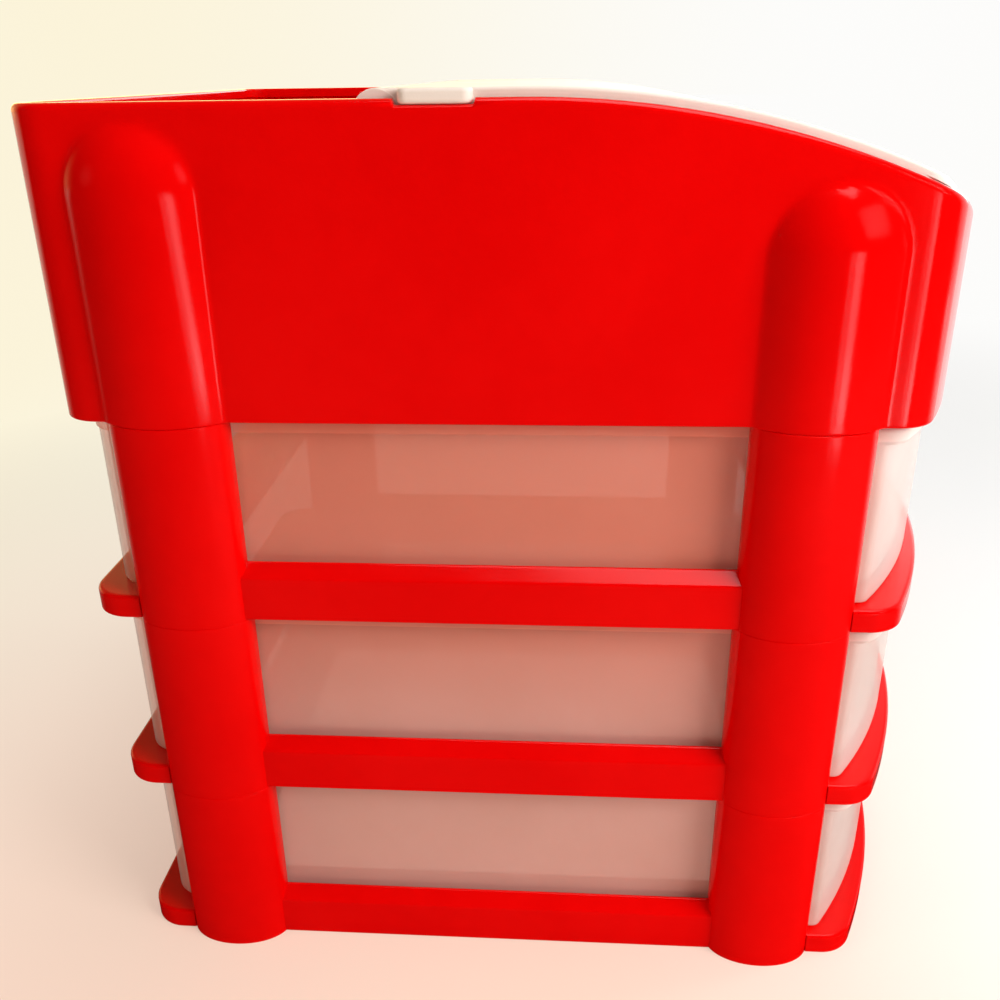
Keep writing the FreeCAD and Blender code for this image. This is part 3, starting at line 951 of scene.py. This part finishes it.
@dataclass(frozen=True)
class TopBin:
    """Bowed bin with an arched rim, four domed pillars and the seats of its lid."""

    outline: Bow = BIN_OUTLINE
    arch: Arch = field(default_factory=Arch)
    base: float = 142.8
    wall: float = 2.2
    floor: float = 2.2
    rim: float = 3.3
    rim_height: float = 2.6
    edge: float = 2.4
    middle: float = 9.0
    ledge_reach: float = 7.4
    ledge_top: float = 2.9
    ledge_bottom: float = 4.7
    ledge_rear_y: float = 7.85
    seat_height: float = 11.0
    seat_x: float = 75.6
    notch: tuple[float, float, float] = (0.7, 15.9, 1.1)
    pillars: tuple[Pillar, ...] = (Pillar(68.0, 202.2), Pillar(-68.0, 190.3))
    fillet: float = 3.6
    inner_fillet: float = 0.8
    foot: float = 6.0
    brow: float = 3.4
    wall_rings: int = 44
    inner_rings: int = 30
    inner_foot: Span = (10.9, 11.1)
    inner_head: Span = (7.0, 7.5)
    notch_fade: float = 2.5
    hinge: tuple[float, float] = (19.5, 203.0)
    pad_x: Span = (76.3, 78.0)
    pad_radius: Span = (2.1, 3.0)
    guide_x: Span = (75.4, 78.0)
    guides_y: tuple[Span, Span] = ((15.85, 17.35), (19.65, 21.15))
    guide_base: float = 1.5
    divider_half: float = 77.1
    divider_y: Span = (17.6, 19.4)
    divider_top: float = 197.9

    def outside(self, plan: np.ndarray, z: np.ndarray) -> np.ndarray:
        """Push the outer wall out over the pillars.

        Args:
            plan: Plan points of a ring.
            z: Their heights.

        Returns:
            The ring.
        """
        edge = self.outline.half_width
        out = edge + np.zeros(len(plan))
        for pillar in self.pillars:
            out = soft_max(out, pillar.surface(plan[:, 1], z), self.fillet)
        pushed = plan.copy()
        pushed[:, 0] += np.sign(plan[:, 0]) * (out - edge)
        return level(pushed, z)

    def inside(self, plan: np.ndarray, z: np.ndarray) -> np.ndarray:
        """Shape the inner wall: hollow behind the pillars, and thick round their sockets.

        Args:
            plan: Plan points of a ring.
            z: Their heights.

        Returns:
            The ring.
        """
        x = self.outline.half_width - self.wall
        out = x + np.zeros(len(plan))
        above = z > self.base + self.seat_height
        for pillar in self.pillars:
            beside = np.abs(plan[:, 1] - pillar.y) < pillar.radius_y
            hollow = soft_max(x, pillar.surface(plan[:, 1], z, self.wall), self.inner_fillet)
            out = np.where(above, np.maximum(out, hollow), np.where(beside, self.seat_x, out))
        pushed = plan.copy()
        pushed[:, 0] += np.sign(plan[:, 0]) * (out - x)
        return level(pushed, z)

    def tub(self) -> Shell:
        """Skin of the bin.

        The section runs from the underside up the wall, over the rim, which follows the
        arch, and down to the floor. In front it takes in the ledge that carries the lid,
        and the rear has as many points along its plain wall. Under each ear of the lid the
        rim is pressed down by the notch's depth, which fades out further below.

        Returns:
            The tub.
        """
        y = self.outline.points()[:, 1]
        low = rounded([(self.middle, 0, 0), (0, 0, 0.5), (0, self.foot, 0)])
        deep = rounded([(self.wall, self.inner_foot[0], 0), (self.wall, self.floor, 1.6),
                        (self.middle, self.floor, 0)])
        head = [(0, -self.brow, 0), (0, 0, self.edge), (self.rim, 0, 0.55)]
        tail = (self.wall, -self.inner_head[0], 0)
        rear = rounded([*head, (self.rim, -self.rim_height, 0.1), (self.wall, -2.8, 0.05),
                        (self.wall, -3.4, 0.05), (self.wall, -4.6, 0.05), tail])
        front = rounded([*head, (self.rim, -self.ledge_top, 0.1),
                         (self.ledge_reach, -self.ledge_top, 0.3),
                         (self.ledge_reach, -self.ledge_bottom, 0.3),
                         (self.wall, -self.ledge_bottom, 0.1), tail])
        y0, y1, drop = self.notch
        notched = (y > y0) & (y < y1)
        fade = self.notch_fade
        ahead = y < self.ledge_rear_y
        wall = self.outline.points()
        top, foot = self.arch.height(y, -self.brow), self.base + self.foot
        rings = [level(self.outline.inset(low[0, 0]).points(), self.base)]
        rings += [self.outside(self.outline.inset(d).points(), self.base + h + 0 * y)
                  for d, h in low[1:]]
        rings += [self.outside(wall, foot + (top - foot) * t)
                  for t in np.linspace(0, 1, self.wall_rings)[1:-1]]
        for (db, eb), (df, ef) in zip(rear, front):
            plan = np.where(ahead[:, None], self.outline.inset(df).points(),
                            self.outline.inset(db).points())
            offset = np.where(ahead, ef, eb)
            pressed = -fade + (offset + fade) * (fade - drop) / fade
            offset = np.where(notched & (offset > -fade), pressed, offset)
            rings.append(level(plan, self.arch.height(plan[:, 1], offset)))
        inner = self.outline.inset(self.wall).points()
        top, foot = self.arch.height(y, -self.inner_head[1]), self.base + self.inner_foot[1]
        rings += [self.inside(inner, foot + (top - foot) * t)
                  for t in np.linspace(1, 0, self.inner_rings)]
        rings += [self.inside(self.outline.inset(d).points(), self.base + h + 0 * y)
                  for d, h in deep[:-1]]
        rings.append(level(self.outline.inset(self.middle).points(), self.base + self.floor))
        return skin(np.stack(rings))

    def fittings(self) -> list[Shell]:
        """Divider guides and hinge pad of the right-hand wall.

        The pad is a section of radius and place in x, carried round the hinge line.

        Returns:
            Two guides and the pad.
        """
        y, z = self.hinge
        high = (self.base + self.guide_base, self.divider_top)
        made = [slab(self.guide_x, span, high, 0.3, 0.3) for span in self.guides_y]
        (near, far), (bore, rim) = self.pad_x, self.pad_radius
        section = rounded([(bore, far, 0), (rim, far, 0), (rim, near, 0.25), (bore, near, 0.2)])
        pad = np.stack([level(circle() * r, x) for r, x in section[::-1]])
        made.append(skin(pad, loop=True).turned(Axis.X).moved(y=y, z=z))
        return made

    def build(self) -> None:
        """Make the bin and its divider."""
        right = self.fittings()
        add_piece("top_bin_look", [self.tub(), *right, *(s.mirrored() for s in right)], RED,
                  "cabinet", ["top_bin"])
        plate = slab((-self.divider_half, self.divider_half), self.divider_y,
                     (self.base + self.floor, self.divider_top), 0.4, 0.4)
        add_piece("bin_divider_look", [plate], RED, "cabinet", ["bin_divider"])


@dataclass(frozen=True)
class Lid:
    """Arched lid with a skirt, a rolled rear edge on its hinge, two ears and a finger tab."""

    arch: Arch = field(default_factory=Arch)
    half_width: float = 75.8
    hinge_y: float = 19.5
    hinge_z: float = 203.0
    roll: float = 4.8
    skin_top: float = 1.8
    thickness: float = 1.4
    skirt: float = 1.8
    skirt_drop: float = 2.6
    skirt_top: float = 0.42
    skirt_set_back: float = 1.5
    apex: float = 106.7
    bow_radius: float = 159.0
    corner: float = 5.2
    rear_corner: float = 0.3
    border: float = 4.0
    middle: tuple[float, float] = (0.0, -40.0)
    tab_front: float = 114.0
    overlap: float = 0.05
    pin_radius: float = 2.0
    pin_end: float = 77.3
    ear: tuple[Span, Span, Span] = ((75.2, 79.5), (1.0, 15.1), (204.95, 207.8))

    def outline(self, front: float = 0.0) -> Bow:
        """Plan of the lid, with its front set back by a distance."""
        return Bow(self.half_width, self.hinge_y, self.rear_corner, self.apex - front,
                   self.bow_radius - front, self.corner, LID_STATIONS)

    def plan(self, inset: float) -> np.ndarray:
        """Plan of the top with its finger tab.

        Between its sides the tab reaches further out, with each corner a quarter circle.

        Args:
            inset: How far it is taken in.

        Returns:
            Plan points.
        """
        points = self.outline().inset(inset).points()
        x, y = np.abs(points[:, 0]), points[:, 1]
        past = np.clip(x - (TAB_HALF - TAB_CORNER), 0, TAB_CORNER)
        tab = -self.tab_front + inset + TAB_CORNER - np.sqrt(TAB_CORNER**2 - past**2)
        on_tab = (x < TAB_HALF + 0.01) & (y < 0)
        points[on_tab, 1] = np.minimum(y, tab)[on_tab]
        points[on_tab, 0] *= 1 - inset / TAB_HALF
        return points

    def top(self) -> Shell:
        """Arched top: rings that shrink to the middle, on two arches one thickness apart.

        Returns:
            The top, with its lower face first, then its edge, then its upper face.
        """
        low, high = self.skin_top - self.thickness, self.skin_top
        edge = rounded([(self.border, low, 0), (0, low, 0.05), (0, high, 0.7),
                        (self.border, high, 0)], 4)
        shrink = np.linspace(0.04, 1, 18)[:, None, None]
        middle = np.array(self.middle)
        inner = middle + (self.plan(self.border) - middle) * shrink
        rings = [level(p, self.arch.height(p[:, 1], low)) for p in inner]
        rings += [level(p, self.arch.height(p[:, 1], e))
                  for p, e in ((self.plan(d), e) for d, e in edge[1:-1])]
        rings += [level(p, self.arch.height(p[:, 1], high)) for p in inner[::-1]]
        return skin(np.stack(rings))

    def skirt_ring(self) -> Shell:
        """Skirt: a section carried from one end of the hinge round the front to the other.

        Returns:
            The skirt, closed flat at both ends.
        """
        outline = self.outline(self.skirt_set_back)
        section = rounded([(0, -self.skirt_drop, 0.3), (self.skirt, -self.skirt_drop, 0.3),
                           (self.skirt, self.skirt_top, 0), (0, self.skirt_top, 0)], 3)
        sides = [outline.inset(d).points() for d, _ in section]
        grid = np.stack([level(p, self.arch.height(p[:, 1], e))
                         for p, (_, e) in zip(sides, section)], 1)
        rear = np.argmax(sides[0][:, 1] > self.hinge_y - 1.0)
        return skin(np.concatenate([grid[-rear:], grid[:rear + 1]]))

    def rolled_edge(self) -> Shell:
        """Rear edge: a quarter ring about the hinge line, carried across the lid.

        Returns:
            The edge, which runs a little into the top and the cheeks.
        """
        t = np.linspace(0, np.pi / 2, 13)[:, None]
        turn = np.concatenate([np.cos(t), np.sin(t)], 1)
        section = np.concatenate([turn * self.roll, turn[::-1] * (self.roll - self.thickness)])
        section += (self.hinge_y - self.overlap, self.hinge_z)
        end = self.half_width - self.overlap
        rings = np.stack([level(section, x) for x in (-end, end)])
        return skin(rings).turned(Axis.X)

    def fittings(self) -> list[Shell]:
        """Cheek, pin and ear of the right-hand side.

        Returns:
            The three of them.
        """
        y, z, side = self.hinge_y, self.hinge_z, self.half_width
        return [
            disc(self.roll, side - self.skirt, side + self.overlap, y, z),
            disc(self.pin_radius, side - 1, self.pin_end, y, z),
            slab(*self.ear, 1.6, 1.1),
        ]

    def build(self) -> None:
        """Make the lid."""
        right = self.fittings()
        shells = [self.top(), self.skirt_ring(), self.rolled_edge(), *right,
                  *(s.mirrored() for s in right)]
        add_piece("top_lid_look", shells, LID, "lid", ["top_lid"])


# ------------------------------------------------------------------ the studio


@dataclass(frozen=True)
class Lamp:
    """A soft area lamp that looks at a point."""

    name: str
    place: tuple[float, float, float]
    target: tuple[float, float, float]
    power: float
    width: float
    height: float
    colour: tuple[float, float, float] = (1.0, 1.0, 1.0)
    mirrored: bool = True

    def build(self) -> None:
        """Add the lamp to the scene."""
        light = bpy.data.lights.new(self.name, "AREA")
        light.shape = "RECTANGLE"
        light.size, light.size_y = self.width, self.height
        light.energy, light.color = self.power, self.colour
        obj = bpy.data.objects.new(self.name, light)
        obj.location = self.place
        away = Vector(self.target) - Vector(self.place)
        obj.rotation_euler = away.to_track_quat("-Z", "Y").to_euler()
        obj.visible_camera = False
        obj.visible_glossy = self.mirrored
        bpy.context.scene.collection.objects.link(obj)


@dataclass(frozen=True)
class Studio:
    """Camera, lamps, floor and surroundings: metres and radians, and the lens in mm."""

    eye: tuple[float, float, float] = (-0.2756, -0.0063, 0.2104)
    yaw: float = -0.0699
    pitch: float = 0.4054
    roll: float = 0.0144
    lens: float = 36.0
    near_clip: float = 0.01
    cream: Colour = (0.97, 0.90, 0.70, 1)
    white: Colour = (0.98, 0.975, 0.96, 1)
    # Colour of the painted glow of bounced red light on the floor.
    peach: Colour = (0.99, 0.74, 0.60, 1)
    glow: Colour = (1.0, 0.62, 0.25, 1)
    daylight: Colour = (1, 0.985, 0.96, 1)
    daylight_strength: float = 0.14
    cream_side: Span = (-0.25, 0.45)
    glow_side: Span = (-0.4, 0.3)
    dim: float = 0.01
    patch_strength: float = 6.5
    front_pillar: tuple[float, float] = (-0.085, -0.0575)
    floor_x: Span = (-4.0, 9.0)
    floor_y: Span = (-6.0, 6.0)
    lamps: tuple[Lamp, ...] = (
        Lamp("key", (-0.33, -0.41, 0.39), (0.0, -0.03, 0.1), power=3.0, width=0.25,
             height=0.25, mirrored=False),
        Lamp("strip", (0.22, -0.85, 0.3), (0.0, 0.0, 0.15), power=2.8, width=0.22,
             height=0.9, mirrored=False),
        Lamp("fill", (-0.45, 0.9, 0.4), (0.0, 0.05, 0.1), power=1.6, width=0.25,
             height=0.25, colour=(1.0, 0.85, 0.7), mirrored=False),
        Lamp("top", (-0.1, -0.25, 1.25), (0.0, 0.0, 0.1), power=6.5, width=0.8, height=0.8),
    )

    def camera(self) -> None:
        """Place the camera: turned by its yaw, tipped down by its pitch, then rolled."""
        cy, sy = math.cos(self.yaw), math.sin(self.yaw)
        cp, sp = math.cos(self.pitch), math.sin(self.pitch)
        cr, sr = math.cos(self.roll), math.sin(self.roll)
        ahead = Vector((cy * cp, -sy * cp, -sp))
        right = Vector((-sy, -cy, 0.0))
        down = -right.cross(ahead)
        right, down = cr * right + sr * down, cr * down - sr * right
        turn = Matrix((right, -down, -ahead)).transposed().to_4x4()
        data = bpy.data.cameras.new("camera")
        data.sensor_width = data.lens = self.lens
        data.clip_start = self.near_clip
        obj = bpy.data.objects.new("camera", data)
        obj.matrix_world = Matrix.Translation(self.eye) @ turn
        bpy.context.scene.collection.objects.link(obj)
        bpy.context.scene.camera = obj

    def pale(self, sh: Shader, y: Wire) -> Wire:
        """White that turns to cream along y."""
        return sh.blend(y.ramp(*self.cream_side), self.white, self.cream)

    def floor_surface(self, sh: Shader) -> Wire:
        """Surface of the floor, for the eye and for reflections.

        The eye sees a matt floor with a painted peach glow near the object, towards the eye,
        standing in for red light that the object throws on it. The floor is lifted towards its
        plain colour along y and far from the object. In reflections the floor on the eye's side is
        dim, with two bright patches in narrow sectors as seen from the front pillar, to give it
        its streaks.

        Args:
            sh: The shader that it is made in.

        Returns:
            The surface.
        """
        x, y, _ = sh.axes(sh.place())
        eye, mirror = sh.rays()
        # Painted peach glow on the floor near the object, towards the eye: red light bounced off
        # the object.
        painted_bounce_share = (1 - x.ramp(-0.15, 0.35)) * y.ramp(-0.22, 0.0) * (1 - y.ramp(0.12, 0.3) * 0.5)
        colour = sh.blend(painted_bounce_share, self.pale(sh, y), self.peach)
        matt = sh.node("ShaderNodeBsdfPrincipled", None, {
            "Base Color": colour, "Roughness": 0.75 + sh.noise(6.0) * 0.1,
            "Specular IOR Level": 0.2})[0]
        plain = sh.node("ShaderNodeEmission", None, {"Color": colour})[0]
        away = (x * x + y * y).math("SQRT")
        lift = (0.5 + y.ramp(0.06, 0.2) * 0.3 + away.ramp(0.3, 0.75) * 0.5) * eye
        far = sh.mixed(lift + mirror * x.ramp(0.1, 0.4), matt, plain)
        sector = (self.front_pillar[1] - y).math("ARCTAN2", self.front_pillar[0] - x)
        streak = sector.band((0.44, 0.50), (0.58, 0.66))
        streak = streak + sector.band((0.36, 0.40), (0.41, 0.44)) * 0.6
        patch = streak * away.ramp(0.5, 0.54) * (1 - away.ramp(0.56, 0.8) * 0.5) * (
            1 - x.ramp(-0.3, -0.1))
        bright = sh.scaled(colour, patch * self.patch_strength + self.dim)
        patched = sh.node("ShaderNodeEmission", None, {"Color": bright})[0]
        return sh.mixed((1 - x.ramp(-0.05, 0.2)) * mirror, far, patched)

    def floor(self) -> None:
        """Add the pale floor, a plain rectangle."""
        made = bpy.data.materials.new("floor_look")
        made.use_nodes = True
        sh = Shader(made.node_tree)
        sh.node("ShaderNodeOutputMaterial", None, {"Surface": self.floor_surface(sh)})
        (x0, x1), (y0, y1) = self.floor_x, self.floor_y
        corners = [(x0, y0, 0), (x1, y0, 0), (x1, y1, 0), (x0, y1, 0)]
        mesh = bpy.data.meshes.new("floor")
        mesh.from_pydata(corners, [], [(0, 1, 2, 3)])
        mesh.materials.append(made)
        obj = bpy.data.objects.new("floor", mesh)
        bpy.context.scene.collection.objects.link(obj)

    def world(self) -> None:
        """Surround the object: what lights it, what it mirrors and what the eye sees.

        The mirrored part grows brighter along x, past the object as the eye sees it, and
        fades with height. It is brighter still far along y and straight along x.
        """
        world = bpy.data.worlds.new("studio")
        bpy.context.scene.world = world
        world.use_nodes = True
        sh = Shader(world.node_tree)
        x, y, z = sh.axes(sh.place())
        eye, mirror = sh.rays()
        behind = x.ramp(-0.1, 0.6) * (1 - z.ramp(0.08, 0.5) * 0.7)
        behind = behind * (1.1 + y.ramp(0.6, 0.9) * 2.0 + x.ramp(0.7, 0.95) * 4.0)
        tone = sh.blend(y.ramp(*self.glow_side), self.white, self.glow)
        light = sh.node("ShaderNodeBackground", None,
                        {"Color": self.daylight, "Strength": self.daylight_strength})[0]
        shine = sh.node("ShaderNodeBackground", None,
                        {"Color": sh.scaled(tone, behind + self.dim)})[0]
        back = sh.node("ShaderNodeBackground", None, {"Color": self.pale(sh, y)})[0]
        mixed = sh.mixed(eye, sh.mixed(mirror, light, shine), back)
        sh.node("ShaderNodeOutputWorld", None, {"Surface": mixed})

    def build(self) -> None:
        """Set up everything that isn't part of the object."""
        self.camera()
        self.floor()
        self.world()
        for lamp in self.lamps:
            lamp.build()
        bpy.context.scene.view_settings.view_transform = "Standard"


def main() -> None:
    """Build the scene."""
    logging.basicConfig(level=logging.INFO, format="%(name)s: %(message)s")
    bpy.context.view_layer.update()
    Studio().build()
    for assembly in (SideFrame(), Shelf(), Drawer(), TopBin(), Lid()):
        assembly.build()


if __name__ == "__main__":
    main()
